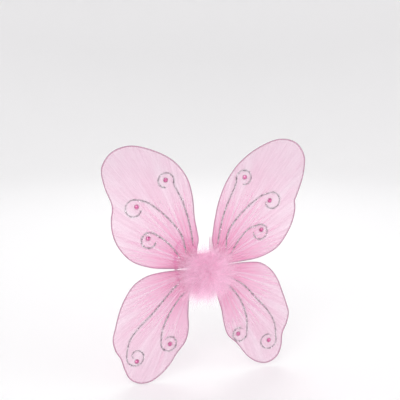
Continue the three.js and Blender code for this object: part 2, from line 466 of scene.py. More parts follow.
class Effects:
    """The shader node groups that several finishes share."""

    def __init__(self) -> None:
        """Builds each group once."""
        self.weave = self._weave()
        self.mottle = self._mottle()
        self.streaks = self._streaks()

    @staticmethod
    def _start(name: str, inputs: dict[str, tuple[str, object]], outputs: list[str]) -> tuple:
        """Makes an empty group.

        Args:
            name: the group's name.
            inputs: each input's name, with its socket kind and its default.
            outputs: the names of the outputs, which are all numbers.

        Returns:
            The tree, a graph on it, its input node and its output node.
        """
        tree = bpy.data.node_groups.new(name, "ShaderNodeTree")
        for label, (kind, value) in inputs.items():
            socket = tree.interface.new_socket(label, in_out="INPUT", socket_type=kind)
            if value is not None:
                socket.default_value = value
        for label in outputs:
            tree.interface.new_socket(label, in_out="OUTPUT", socket_type="NodeSocketFloat")
        graph = NodeGraph(tree)
        return tree, graph, graph.node("NodeGroupInput"), graph.node("NodeGroupOutput")

    def _weave(self) -> bpy.types.NodeTree:
        """Crossing yarns: Height is 1 on top of a yarn, and Shade varies from yarn to yarn.

        Returns:
            The group's tree.
        """
        tree, g, given, out = self._start(
            "yarn_weave",
            {
                "Vector": ("NodeSocketVector", None),
                "Across": ("NodeSocketFloat", 1000.0),
                "Along": ("NodeSocketFloat", 1000.0),
                "Spread": ("NodeSocketFloat", 0.3),
            },
            ["Height", "Shade"],
        )
        split = g.node("ShaderNodeSeparateXYZ")
        g.feed(split.inputs[0], given.outputs["Vector"])
        warp = g.maths("MULTIPLY", split.outputs[0], given.outputs["Across"])
        weft = g.maths("MULTIPLY", split.outputs[2], given.outputs["Along"])
        warp_wave = g.maths("SINE", g.maths("MULTIPLY", warp, math.tau))
        weft_wave = g.maths("SINE", g.maths("MULTIPLY", weft, math.tau))
        crossed = g.maths("MULTIPLY", warp_wave, weft_wave)
        height = g.remap(crossed, -1.0, 1.0, 0.0, 1.0)
        yarn = g.noise(g.combine(g.maths("FLOOR", warp), 0.0, g.maths("FLOOR", weft)), 0.73, 1.0)
        spread = g.maths("MULTIPLY", g.maths("SUBTRACT", yarn, 0.5), given.outputs["Spread"])
        g.feed(out.inputs["Height"], height)
        g.feed(out.inputs["Shade"], g.maths("ADD", 0.5, spread))
        return tree

    def _mottle(self) -> bpy.types.NodeTree:
        """Cloudy variation: Value runs from Low to High, and Fine is a second, finer noise.

        Returns:
            The group's tree.
        """
        tree, g, given, out = self._start(
            "mottle",
            {
                "Vector": ("NodeSocketVector", None),
                "Scale": ("NodeSocketFloat", 60.0),
                "Low": ("NodeSocketFloat", 0.0),
                "High": ("NodeSocketFloat", 1.0),
            },
            ["Value", "Fine"],
        )
        clouds = g.noise(given.outputs["Vector"], given.outputs["Scale"], 4.0, 0.6)
        value = g.remap(clouds, 0.3, 0.7, given.outputs["Low"], given.outputs["High"])
        fine = g.noise(given.outputs["Vector"], g.maths("MULTIPLY", given.outputs["Scale"], 14.0), 3.0, 0.7)
        g.feed(out.inputs["Value"], value)
        g.feed(out.inputs["Fine"], fine)
        return tree

    def _streaks(self) -> bpy.types.NodeTree:
        """Long streaks that follow a piece's own length: Value is 1 on a streak.

        Returns:
            The group's tree.
        """
        tree, g, given, out = self._start(
            "streaks",
            {
                "Vector": ("NodeSocketVector", None),
                "Count": ("NodeSocketFloat", 40.0),
                "Length": ("NodeSocketFloat", 1.5),
                "Contrast": ("NodeSocketFloat", 1.0),
            },
            ["Value", "Fine"],
        )
        split = g.node("ShaderNodeSeparateXYZ")
        g.feed(split.inputs[0], given.outputs["Vector"])
        across = g.maths("MULTIPLY", split.outputs[0], given.outputs["Count"])
        along = g.maths("MULTIPLY", split.outputs[1], given.outputs["Length"])
        broad = g.noise(g.combine(across, along, 0.0), 1.0, 2.0, 0.5)
        centred = g.maths("MULTIPLY", g.maths("SUBTRACT", broad, 0.5), given.outputs["Contrast"])
        value = g.maths("ADD", 0.5, g.maths("MULTIPLY", centred, 2.2))
        finer = g.combine(g.maths("MULTIPLY", across, 4.0), g.maths("MULTIPLY", along, 1.7), 3.0)
        fine = g.noise(finer, 1.0, 2.0, 0.6)
        g.feed(out.inputs["Value"], g.remap(value, 0.0, 1.0, 0.0, 1.0))
        g.feed(out.inputs["Fine"], fine)
        return tree


# ---------------------------------------------------------------- finishes


@dataclass(frozen=True)
class Finish:
    """What every finish has: a name, two tones and the plain numbers of its Principled shader."""

    name: str
    slot: Slot
    base: tuple[float, float, float]
    accent: tuple[float, float, float]
    roughness: float = 0.6
    metallic: float = 0.0
    sheen: float = 0.0
    coat: float = 0.0

    def start(self) -> tuple[bpy.types.Material, NodeGraph, bpy.types.Node]:
        """Makes the material with its Principled shader.

        Returns:
            The material, a graph on its tree, and the shader node.
        """
        material = bpy.data.materials.new(self.name)
        material.use_nodes = True
        graph = NodeGraph(material.node_tree)
        shader = material.node_tree.nodes["Principled BSDF"]
        shader.inputs["Base Color"].default_value = (*self.base, 1)
        shader.inputs["Roughness"].default_value = self.roughness
        shader.inputs["Metallic"].default_value = self.metallic
        shader.inputs["Sheen Weight"].default_value = self.sheen
        shader.inputs["Sheen Roughness"].default_value = 0.4
        shader.inputs["Sheen Tint"].default_value = (*self.accent, 1)
        shader.inputs["Coat Weight"].default_value = self.coat
        shader.inputs["Coat Roughness"].default_value = 0.08
        return material, graph, shader

    @staticmethod
    def place(graph: NodeGraph, kind: str = "Object") -> bpy.types.NodeSocket:
        """Gives the coordinates that a finish is laid out by.

        Args:
            graph: the graph to add the node to.
            kind: Object for the piece's own coordinates, or UV for those along the piece.

        Returns:
            The coordinates.
        """
        if kind == "UV":
            return graph.node("ShaderNodeUVMap", uv_map="Along").outputs[0]
        return graph.node("ShaderNodeTexCoord").outputs[kind]

    def two_tone(self, graph: NodeGraph, tone: object) -> bpy.types.NodeSocket:
        """Mixes the finish's two tones by a number."""
        return graph.mix_colour(tone, (*self.base, 1), (*self.accent, 1))

    @staticmethod
    def bump(
        graph: NodeGraph, shader: bpy.types.Node, height: object, strength: float, distance: float
    ) -> None:
        """Raises the surface by a height.

        Args:
            graph: the graph to add the node to.
            shader: the material's Principled shader.
            height: the socket that gives the height.
            strength: how much of the bump shows, from 0 to 1.
            distance: how far a height of 1 stands up.
        """
        node = graph.node("ShaderNodeBump")
        node.inputs["Strength"].default_value = strength
        node.inputs["Distance"].default_value = distance
        graph.feed(node.inputs["Height"], height)
        graph.feed(shader.inputs["Normal"], node.outputs[0])


@dataclass(frozen=True)
class SheerNylon(Finish):
    """Stocking nylon: see-through, denser and deeper in colour towards the gathers at the neck."""

    cover: float = 0.24
    gathered_cover: float = 0.55
    fold_cover: float = 0.26

    def build(self, effects: Effects) -> bpy.types.Material:
        """Makes the material.

        Args:
            effects: the node groups that the finishes share.

        Returns:
            The material.
        """
        material, g, shader = self.start()
        along = self.place(g, "UV")
        folds = g.group(effects.streaks, Vector=along, Count=30.0, Length=1.8, Contrast=1.15)
        ladders = g.group(effects.streaks, Vector=along, Count=150.0, Length=5.0, Contrast=0.9)
        knit = g.group(effects.weave, Vector=self.place(g), Across=1150.0, Along=1400.0, Spread=0.5)
        split = g.node("ShaderNodeSeparateXYZ")
        g.feed(split.inputs[0], along)
        inward = g.remap(split.outputs[1], 0.0, 1.0, 1.0, 0.0)
        near = g.maths("POWER", inward, 2.7)
        fold_share = g.maths("MULTIPLY", folds.outputs["Value"], g.remap(inward, 0.0, 0.8, 0.3, 1.0))
        tone = g.maths("ADD", g.maths("MULTIPLY", fold_share, 0.7), g.maths("MULTIPLY", near, 0.5))
        g.feed(shader.inputs["Base Color"], self.two_tone(g, g.remap(tone, 0.0, 1.0, 0.0, 1.0)))
        parts = (
            g.maths("MULTIPLY", near, self.gathered_cover),
            g.maths("MULTIPLY", fold_share, self.fold_cover),
            g.maths("MULTIPLY", ladders.outputs["Value"], 0.07),
            g.maths("MULTIPLY", knit.outputs["Height"], 0.05),
        )
        alpha = self.cover - 0.3 * self.fold_cover
        for part in parts:
            alpha = g.maths("ADD", alpha, part)
        g.feed(shader.inputs["Alpha"], g.remap(alpha, 0.0, 0.94, 0.0, 0.94))
        g.feed(shader.inputs["Roughness"], g.remap(ladders.outputs["Fine"], 0.3, 0.7, 0.4, 0.58))
        lift = g.maths("ADD", folds.outputs["Value"], g.maths("MULTIPLY", knit.outputs["Height"], 0.12))
        self.bump(g, shader, lift, 0.5, 0.5 * MM)
        return material


@dataclass(frozen=True)
class WovenCloth(Finish):
    """Woven ribbon, elastic or wound thread, with yarns across the strand; the colour is lighter on the
    yarns' tops, as painted shade in the hollows between yarns.
    """

    across: float = 1500.0
    along: float = 900.0
    depth: float = 0.25 * MM

    def build(self, effects: Effects) -> bpy.types.Material:
        """Makes the material.

        Args:
            effects: the node groups that the finishes share.

        Returns:
            The material.
        """
        material, g, shader = self.start()
        place = self.place(g)
        yarns = g.group(effects.weave, Vector=place, Across=self.across, Along=self.along, Spread=0.8)
        clouds = g.group(effects.mottle, Vector=place, Scale=90.0, Low=0.0, High=0.45)
        # A mottle of real tone, plus the yarns' height: painted shade in the hollows between yarns.
        tone = g.maths("ADD", clouds.outputs["Value"], g.maths("MULTIPLY", yarns.outputs["Height"], 0.35))
        g.feed(shader.inputs["Base Color"], self.two_tone(g, tone))
        low, high = self.roughness - 0.1, self.roughness + 0.1
        g.feed(shader.inputs["Roughness"], g.remap(yarns.outputs["Shade"], 0.2, 0.8, low, high))
        self.bump(g, shader, yarns.outputs["Height"], 0.5, self.depth)
        return material


@dataclass(frozen=True)
class NeedledFelt(Finish):
    """Felt: matted fibres, a little fuzzy and uneven in colour."""

    def build(self, effects: Effects) -> bpy.types.Material:
        """Makes the material.

        Args:
            effects: the node groups that the finishes share.

        Returns:
            The material.
        """
        material, g, shader = self.start()
        place = self.place(g)
        clouds = g.group(effects.mottle, Vector=place, Scale=160.0, Low=0.0, High=0.7)
        fibres = g.group(effects.streaks, Vector=place, Count=2600.0, Length=500.0, Contrast=1.0)
        tone = g.maths("ADD", clouds.outputs["Value"], g.maths("MULTIPLY", fibres.outputs["Fine"], 0.3))
        g.feed(shader.inputs["Base Color"], self.two_tone(g, tone))
        g.feed(shader.inputs["Roughness"], g.remap(clouds.outputs["Fine"], 0.3, 0.7, 0.85, 1.0))
        lift = g.maths("ADD", clouds.outputs["Fine"], g.maths("MULTIPLY", fibres.outputs["Fine"], 0.6))
        self.bump(g, shader, lift, 0.8, 0.5 * MM)
        return material


@dataclass(frozen=True)
class Down(Finish):
    """Marabou down: deeper at the quill's root, and paler and thinner towards the tips.

    Light passes through the down, and glow stands for the part of it that comes out again at the front.
    """

    tip_cover: float = 0.3
    root_cover: float = 0.95
    glow: float = 0.06

    def build(self, effects: Effects) -> bpy.types.Material:
        """Makes the material.

        Args:
            effects: the node groups that the finishes share.

        Returns:
            The material.
        """
        material, g, shader = self.start()
        along = self.place(g, "UV")
        clouds = g.group(effects.mottle, Vector=self.place(g), Scale=70.0, Low=-0.2, High=0.25)
        split = g.node("ShaderNodeSeparateXYZ")
        g.feed(split.inputs[0], along)
        depth = g.remap(split.outputs[1], 0.0, 0.7, 0.85, 0.05)
        own = g.maths("MULTIPLY", g.maths("SUBTRACT", split.outputs[0], 0.5), 0.4)
        tone = g.maths("ADD", g.maths("ADD", depth, clouds.outputs["Value"]), own)
        g.feed(shader.inputs["Base Color"], self.two_tone(g, g.remap(tone, 0.0, 1.0, 0.0, 1.0)))
        g.feed(shader.inputs["Roughness"], g.remap(clouds.outputs["Fine"], 0.3, 0.7, 0.7, 0.95))
        cover = g.remap(split.outputs[1], 0.25, 1.0, self.root_cover, self.tip_cover)
        g.feed(shader.inputs["Alpha"], cover)
        g.feed(shader.inputs["Emission Color"], self.two_tone(g, clouds.outputs["Fine"]))
        shader.inputs["Emission Strength"].default_value = self.glow
        return material


@dataclass(frozen=True)
class SpringWire(Finish):
    """Drawn steel wire with faint draw marks and dull patches."""

    def build(self, effects: Effects) -> bpy.types.Material:
        """Makes the material.

        Args:
            effects: the node groups that the finishes share.

        Returns:
            The material.
        """
        material, g, shader = self.start()
        clouds = g.group(effects.mottle, Vector=self.place(g), Scale=220.0, Low=0.0, High=0.6)
        g.feed(shader.inputs["Base Color"], self.two_tone(g, clouds.outputs["Value"]))
        g.feed(shader.inputs["Roughness"], g.remap(clouds.outputs["Fine"], 0.3, 0.7, 0.25, 0.5))
        self.bump(g, shader, clouds.outputs["Fine"], 0.2, 0.05 * MM)
        return material


@dataclass(frozen=True)
class DriedGlue(Finish):
    """Clear craft glue, dried over fine silver dust."""

    def build(self, effects: Effects) -> bpy.types.Material:
        """Makes the material.

        Args:
            effects: the node groups that the finishes share.

        Returns:
            The material.
        """
        material, g, shader = self.start()
        grains = g.node("ShaderNodeTexVoronoi")
        g.feed(grains.inputs["Vector"], self.place(g))
        grains.inputs["Scale"].default_value = 2200.0
        clouds = g.group(effects.mottle, Vector=self.place(g), Scale=400.0, Low=0.0, High=1.0)
        cell = g.node("ShaderNodeSeparateXYZ")
        g.feed(cell.inputs[0], grains.outputs["Color"])
        g.feed(shader.inputs["Base Color"], self.two_tone(g, cell.outputs[0]))
        g.feed(shader.inputs["Metallic"], g.remap(cell.outputs[1], 0.35, 0.5, 0.1, 0.9))
        g.feed(shader.inputs["Roughness"], g.remap(cell.outputs[2], 0.0, 1.0, 0.18, 0.55))
        g.feed(shader.inputs["Alpha"], g.remap(cell.outputs[0], 0.3, 0.8, 0.2, 0.75))
        lift = g.maths("ADD", grains.outputs["Distance"], clouds.outputs["Fine"])
        self.bump(g, shader, lift, 0.9, 0.3 * MM)
        return material


@dataclass(frozen=True)
class GlitterFlake(Finish):
    """Mirror-bright silver cut flakes, painted from near-black to white from flake to flake as painted dark
    reflections and painted glints.
    """

    def build(self, effects: Effects) -> bpy.types.Material:
        """Makes the material.

        Args:
            effects: the node groups that the finishes share.

        Returns:
            The material.
        """
        material, g, shader = self.start()
        split = g.node("ShaderNodeSeparateXYZ")
        g.feed(split.inputs[0], self.place(g, "UV"))
        # The first coordinate is the flake's painted glint level, between near-black and white.
        g.feed(shader.inputs["Base Color"], self.two_tone(g, split.outputs[0]))
        g.feed(shader.inputs["Roughness"], g.remap(split.outputs[1], 0.0, 1.0, 0.08, 0.3))
        return material


@dataclass(frozen=True)
class FoiledStone(Finish):
    """A faceted acrylic stone with a foiled back: deep magenta, with a few facets painted pale pink as
    highlights.
    """

    def build(self, effects: Effects) -> bpy.types.Material:
        """Makes the material.

        Args:
            effects: the node groups that the finishes share.

        Returns:
            The material.
        """
        material, g, shader = self.start()
        split = g.node("ShaderNodeSeparateXYZ")
        g.feed(split.inputs[0], self.place(g, "UV"))
        clouds = g.group(effects.mottle, Vector=self.place(g), Scale=500.0, Low=-0.15, High=0.15)
        # The face's tone, with painted highlights on some facets, and a faint mottle.
        tone = g.maths("ADD", split.outputs[0], clouds.outputs["Value"])
        g.feed(shader.inputs["Base Color"], self.two_tone(g, g.remap(tone, 0.0, 1.0, 0.0, 1.0)))
        g.feed(shader.inputs["Roughness"], g.remap(clouds.outputs["Fine"], 0.3, 0.7, 0.03, 0.1))
        return material


class Wardrobe:
    """All finishes of the wings, built once and asked for by name."""

    def __init__(self) -> None:
        """Builds the shared effects and every material."""
        effects = Effects()
        finishes = (
            SheerNylon(
                "sheer_nylon", Slot.NYLON, (0.77, 0.34, 0.58), (0.83, 0.24, 0.47), 0.5, sheen=0.15,
                cover=0.22, gathered_cover=0.55, fold_cover=0.26,
            ),
            SheerNylon(
                "nylon_hem", Slot.NYLON, (0.76, 0.36, 0.54), (0.76, 0.28, 0.47), 0.5, sheen=0.15,
                cover=0.34, gathered_cover=0.3, fold_cover=0.1,
            ),
            WovenCloth(
                "satin_ribbon", Slot.RIBBON, (0.80, 0.26, 0.48), (0.92, 0.44, 0.64), 0.42, sheen=0.5,
                across=2200.0, along=2600.0,
            ),
            WovenCloth(
                "flat_elastic", Slot.ELASTIC, (0.94, 0.80, 0.87), (0.98, 0.92, 0.95), 0.75,
                across=1400.0, along=800.0,
            ),
            WovenCloth(
                "wound_thread", Slot.THREAD, (0.80, 0.34, 0.54), (0.92, 0.55, 0.72), 0.7,
                across=3000.0, along=1800.0, depth=0.1 * MM,
            ),
            NeedledFelt("needled_felt", Slot.FELT, (0.78, 0.25, 0.46), (0.90, 0.42, 0.62), 0.95, sheen=0.4),
            Down("marabou_down", Slot.MARABOU, (0.97, 0.66, 0.83), (0.93, 0.45, 0.67), 0.85, sheen=0.3),
            SpringWire("spring_wire", Slot.WIRE, (0.36, 0.31, 0.35), (0.24, 0.20, 0.23), 0.4, metallic=0.6),
            DriedGlue("glitter_glue", Slot.GLITTER, (0.36, 0.28, 0.34), (0.72, 0.62, 0.68), 0.4, coat=0.4),
            # The flakes' near-black and white are painted dark reflections and painted glints.
            GlitterFlake(
                "glitter_flakes", Slot.GLITTER, (0.07, 0.06, 0.08), (1.0, 0.98, 1.0), 0.15, metallic=1.0,
            ),
            # The stone's pale pink accent is the colour of its painted facet highlights.
            FoiledStone(
                "magenta_stone", Slot.RHINESTONE, (0.42, 0.01, 0.17), (1.0, 0.38, 0.64), 0.05,
                metallic=0.3, coat=1.0,
            ),
        )
        self.materials = {finish.name: finish.build(effects) for finish in finishes}
        self.slots = {finish.name: finish.slot.value for finish in finishes}

    def dress(self, piece: bpy.types.Object, name: str) -> None:
        """Does nothing with the piece or the finish's name."""

    def __getitem__(self, name: str) -> bpy.types.Material:
        """Returns a material by its finish's name."""
        return self.materials[name]


# ---------------------------------------------------------------- the lobes


@dataclass
class WingLobe:
    """One lobe: a wire loop in a nylon sleeve that is gathered at the neck, with swirls and stones."""

    lobe: Lobe
    wardrobe: Wardrobe
    wire_radius: float = 0.8 * MM
    sleeve_radius: float = 1.05 * MM
    sleeve_half_gap: float = 0.45 * MM
    neck_height: float = 6 * MM
    neck_half_depth: float = 1.7 * MM
    neck_half_height: float = 2.7 * MM
    # Places along the neck, each with the share of the neck's full size that it has there.
    neck_profile: tuple[tuple[float, float], ...] = (
        (7.2 * MM, 0.9), (9.5 * MM, 1.0), (12 * MM, 1.05), (13.9 * MM, 0.86), (16 * MM, 0.8), (18 * MM, 0.86),
    )
    fan_start: float = 18.4 * MM
    flex_start: float = 8.6 * MM
    flex_end: float = 13.2 * MM
    hem_width: float = 1.8 * MM
    fan_scale: float = 200 * MM
    outline_steps: int = 340
    reach_steps: int = 34
    turn_allowance: float = 3 * MM
    tie_half_depth: float = 1.85 * MM
    tie_half_height: float = 2.75 * MM
    thread_radius: float = 0.31 * MM
    knot_radius: float = 0.3 * MM
    tail_radius: float = 0.24 * MM
    twist_pitch: float = 4.2 * MM
    twist_radius: float = 0.85 * MM
    glue_step: float = 1.1 * MM
    glue_half_width: float = 1.2 * MM
    flake_pitch: float = 0.2 * MM
    flake_sides: int = 6
    gem_sides: int = 8
    # Each ring's share of the radius, its share of the height and its turn, counted in facets.
    gem_rings: tuple[tuple[float, float, float], ...] = (
        (1.0, 0.0, 0.0), (1.0, 0.24, 0.0), (0.80, 0.66, 0.5), (0.52, 1.0, 0.0),
    )
    gem_glue_radius: float = 0.42 * MM

    def __post_init__(self) -> None:
        """Reads the wire's own line from its CAD node."""
        ridge = front_line(f"wire_loop_{self.lobe.label}")
        ridge[:, 1] = WING_Y
        if abs(ridge[0][2]) < abs(ridge[-1][2]):
            ridge = ridge[::-1]
        self.line = smooth_line(ridge, 520)
        self.rng = np.random.default_rng(sum(map(ord, self.lobe.label)))

    def bend(self, piece: bpy.types.Object) -> None:
        """Bakes a piece's placement into its mesh; it does not bend with the wire's neck.

        Args:
            piece: the wire or the sleeve.
        """
        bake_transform(piece)

    def build_wire(self) -> bpy.types.Object:
        """Makes the smooth wire, with both ends run on into the binding.

        Returns:
            The finished piece.
        """
        side = self.lobe.side
        start = side * self.neck_profile[0][0]
        ends = [np.array([[start, WING_Y, self.line[i][2]]]) for i in (0, -1)]
        route = np.concatenate([ends[0], self.line, ends[1]])
        parts = MeshParts()
        parts.add(*sweep(route, round_section(self.wire_radius, 10), FORWARD))
        piece = parts.build(f"wire_{self.lobe.label}", [self.wardrobe["spring_wire"]])
        self.wardrobe.dress(piece, "spring_wire")
        self.bend(piece)
        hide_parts(f"wire_loop_{self.lobe.label}")
        return piece

    def _folds(self, across: Array, count: int, slow: float, fast: float) -> Array:
        """Adds up sine waves of mixed pitch, for pleats across the fan.

        Args:
            across: the place across the fan, from 0 to 1.
            count: how many waves to add.
            slow: the fewest pleats that a wave has.
            fast: the most pleats that a wave has.

        Returns:
            A height between about -1 and 1 for each place.
        """
        total = np.zeros_like(across)
        for _ in range(count):
            pitch = self.rng.uniform(slow, fast)
            total += np.sin(across * pitch * math.tau + self.rng.uniform(0, math.tau))
        return total / math.sqrt(count)

    def _fan(self, edge: Array) -> Array:
        """Measures where each point of the edge lies across the fan, by its angle about the gathers.

        Args:
            edge: the wire's points that the sleeve reaches, in order.

        Returns:
            A number from 0 to 1 for each point, which never turns back.
        """
        away = edge - np.array([self.lobe.side * self.fan_start, WING_Y, self.lobe.level * self.neck_height])
        angle = np.arctan2(away[:, 2] * self.lobe.level, away[:, 0] * self.lobe.side)
        steady = np.flatnonzero(np.hypot(away[:, 0], away[:, 2]) > 24 * MM)
        angle = np.interp(np.arange(len(edge)), steady, angle[steady])
        if angle[0] > angle[-1]:
            angle = -angle
        angle = np.maximum.accumulate(angle)
        return (angle - angle[0]) / (angle[-1] - angle[0])

    def _neck(self, across: Array, out: float) -> list[Array]:
        """Makes the rings of points along the gathered neck, from the binding to where the fan starts.

        Args:
            across: the place of each point across the layer, from 0 to 1.
            out: -1 for the front layer and +1 for the back one.

        Returns:
            One ring of points for each place along the neck.
        """
        side, level = self.lobe.side, self.lobe.level
        cosine, sine = np.cos(math.pi * across), np.sin(math.pi * across)
        ripple = 1 + 0.10 * self._folds(across, 3, 5, 12)
        rings = []
        for x, squeeze in self.neck_profile:
            ring = np.zeros((len(across), 3))
            ring[:, 0] = side * x
            ring[:, 1] = WING_Y + out * self.neck_half_depth * squeeze * sine * ripple
            ring[:, 2] = level * (self.neck_height + self.neck_half_height * squeeze * cosine)
            rings.append(ring)
        return rings

    def _layer(self, edge: Array, fan: Array, front: bool) -> tuple[Array, Array]:
        """Makes the points of the front or back layer, from the binding to the wire.

        Args:
            edge: the wire's points that the layer reaches.
            fan: the place of each across the fan, from 0 to 1.
            front: True for the layer that shows the decoration.

        Returns:
            The points by row across and column outwards, and their texture coordinates.
        """
        out = -1.0 if front else 1.0
        across = 0.65 * fan + 0.35 * np.linspace(0, 1, len(edge))
        rings = self._neck(across, out)
        reach = [np.zeros(len(edge)) for _ in rings]
        root = rings[-1].copy()
        root[:, 0] = self.lobe.side * self.fan_start
        spread = edge - root
        length = np.hypot(spread[:, 0], spread[:, 2])
        pleats = self._folds(fan, 4, 10, 19)
        tucks = self._folds(fan, 5, 20, 34)
        creases = self._folds(fan, 6, 40, 80)
        bunched = self.neck_half_depth * self.neck_profile[-1][1] * np.sin(math.pi * across)
        for step in range(1, self.reach_steps + 1):
            if step == self.reach_steps:
                t = np.ones(len(edge))
            else:
                share = (step / (self.reach_steps - 1)) ** 0.85
                t = share * (1 - np.minimum(self.hem_width / length, 0.5))
            away = t * length
            to_edge = length - away
            closing = smooth_step(1 - to_edge / (7 * MM))
            gap = self.sleeve_half_gap + (self.sleeve_radius - self.sleeve_half_gap) * closing
            bunch = bunched * np.exp(-away / (7 * MM))
            held = smooth_step(to_edge / (14 * MM))
            deep = 1.25 * MM * np.exp(-away / (24 * MM)) * smooth_step(away / (10 * MM))
            broad = 0.62 * MM * np.exp(-away / (95 * MM)) * smooth_step(away / (22 * MM))
            wave = deep * (0.55 * pleats + 0.45 * tucks + 0.25 * creases)
            wave = wave + broad * (0.8 * pleats + 0.35 * tucks)
            ring = root + spread * t[:, None]
            ring[:, 1] = WING_Y + out * (gap + bunch + wave * held)
            rings.append(ring)
            reach.append(away / self.fan_scale)
        streak = np.repeat((0.2 * across + 0.8 * fan)[:, None], len(rings), axis=1)
        return np.stack(rings, axis=1), np.stack([streak, np.stack(reach, axis=1)], axis=-1)

    def _keep_inside(self, points: Array, edge: Array, outward: Array) -> None:
        """Pulls points that lie beyond the wire back onto it, as the real sleeve rests there.

        Args:
            points: the layer's points by row across and column outwards, changed in place.
            edge: the wire's points.
            outward: the direction out of the loop at each of them.
        """
        for column in range(1, points.shape[1] - 1):
            ring = points[:, column]
            beyond = np.abs(ring[:, 0]) > self.fan_start
            gaps = ring[:, None, [0, 2]] - edge[None, :, [0, 2]]
            nearest = np.argmin(np.sum(gaps**2, axis=2), axis=1)
            over = np.sum((ring - edge[nearest]) * outward[nearest], axis=1) + 0.2 * MM
            move = np.where(beyond & (over > 0), over, 0)
            ring -= outward[nearest] * move[:, None]

    def build_sleeve(self) -> bpy.types.Object:
        """Makes the nylon sleeve: two layers that meet round the wire and are bunched at the neck.

        Returns:
            The finished piece.
        """
        inside = np.flatnonzero(np.abs(self.line[:, 0]) > 19.2 * MM)
        edge = smooth_line(self.line[inside[0]: inside[-1] + 1], self.outline_steps)
        fan = self._fan(edge)
        front, front_uv = self._layer(edge, fan, True)
        back, back_uv = self._layer(edge, fan, False)
        tangent = unit(np.gradient(edge, axis=0))
        outward = np.stack([tangent[:, 2], np.zeros(len(edge)), -tangent[:, 0]], axis=1)
        if np.sum((edge - edge.mean(axis=0)) * outward) < 0:
            outward = -outward
        self._keep_inside(front, edge, outward)
        self._keep_inside(back, edge, outward)
        turns = np.linspace(0, math.pi, 7)[1:-1]
        wrap = [edge + self.sleeve_radius * (outward * math.sin(a) + FORWARD * math.cos(a)) for a in turns]
        wrap = np.stack(wrap, axis=1)
        wrap_uv = np.repeat(front_uv[:, -1:], len(turns), axis=1)
        points = np.concatenate([front, wrap, back[:, ::-1]], axis=1)
        uvs = np.concatenate([front_uv, wrap_uv, back_uv[:, ::-1]], axis=1)
        rows, columns = points.shape[:2]
        parts = MeshParts()
        parts.add(points.reshape(-1, 3), grid_faces(rows, columns), 0, uvs.reshape(-1, 2))
        first = front.shape[1] - 2
        last = first + len(turns) + 3
        strip = [1 if first <= k < last else 0 for k in range(columns - 1)]
        parts.materials = strip * (rows - 1)
        materials = [self.wardrobe["sheer_nylon"], self.wardrobe["nylon_hem"]]
        piece = parts.build(f"nylon_sleeve_{self.lobe.label}", materials)
        self.wardrobe.dress(piece, "sheer_nylon")
        x, z = edge[:, 0], edge[:, 2]
        area = abs(float(np.sum(x * np.roll(z, -1) - z * np.roll(x, -1)))) / 2
        flat = (float(np.ptp(x)) + self.turn_allowance, float(np.ptp(z)) + self.turn_allowance)
        self.bend(piece)
        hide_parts(f"nylon_{self.lobe.label}")
        sizes = (flat[0] / MM, flat[1] / MM, area * 1e4)
        log.info("%s: flat %.0f by %.0f mm, area %.0f cm2", piece.name, *sizes)
        return piece

    def build_tie(self) -> bpy.types.Object:
        """Makes the thread that is wound round the neck, with its knot and tails.

        Returns:
            The finished piece.
        """
        lo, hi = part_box(f"neck_tie_{self.lobe.label}")
        height = self.lobe.level * self.neck_height
        turns, per_turn = 7, 26
        steps = np.arange(turns * per_turn + 1)
        angle = steps / per_turn * math.tau
        along = np.linspace(lo.x + 0.4 * MM, hi.x - 0.4 * MM, len(steps))
        depth = WING_Y + self.tie_half_depth * np.sin(angle)
        rise = height + self.tie_half_height * np.cos(angle)
        parts = MeshParts()
        route = np.stack([along, depth, rise], axis=1)
        parts.add(*sweep(route, round_section(self.thread_radius, 8), BACKWARD))
        knot = np.array([(lo.x + hi.x) / 2, WING_Y - 2.3 * MM, height])
        curl = np.linspace(0, 3 * math.pi, 30)
        loop = np.stack([0.8 * np.cos(curl), 0.35 * np.sin(curl * 1.5), 0.8 * np.sin(curl)], axis=1)
        parts.add(*sweep(knot + loop * MM, round_section(self.knot_radius, 8), BACKWARD))
        t = np.linspace(0, 1, 8)
        for lean in (-1, 1):
            tail = np.stack([lean * 2.5 * t, -(t**2), -4.5 * t], axis=1)
            parts.add(*sweep(knot + tail * MM, round_section(self.tail_radius, 6), BACKWARD))
        piece = parts.build(f"thread_tie_{self.lobe.label}", [self.wardrobe["wound_thread"]])
        self.wardrobe.dress(piece, "wound_thread")
        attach(piece, self.lobe.body)
        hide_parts(f"neck_tie_{self.lobe.label}")
        return piece

    def build_tail(self) -> bpy.types.Object:
        """Makes the wire's two ends, twisted together inside the binding.

        Returns:
            The finished piece.
        """
        height = self.lobe.level * self.neck_height
        parts = MeshParts()
        along = np.linspace(1.6 * MM, 9.5 * MM, 60)
        for phase in (0, math.pi):
            angle = phase + along / self.twist_pitch * math.tau
            depth = WING_Y + self.twist_radius * np.cos(angle)
            rise = height + self.twist_radius * np.sin(angle)
            route = np.stack([self.lobe.side * along, depth, rise], axis=1)
            parts.add(*sweep(route, round_section(self.wire_radius, 8), BACKWARD))
        piece = parts.build(f"twisted_tail_{self.lobe.label}", [self.wardrobe["spring_wire"]])
        self.wardrobe.dress(piece, "spring_wire")
        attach(piece, HUB)
        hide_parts(f"wire_stem_{self.lobe.label}")
        return piece

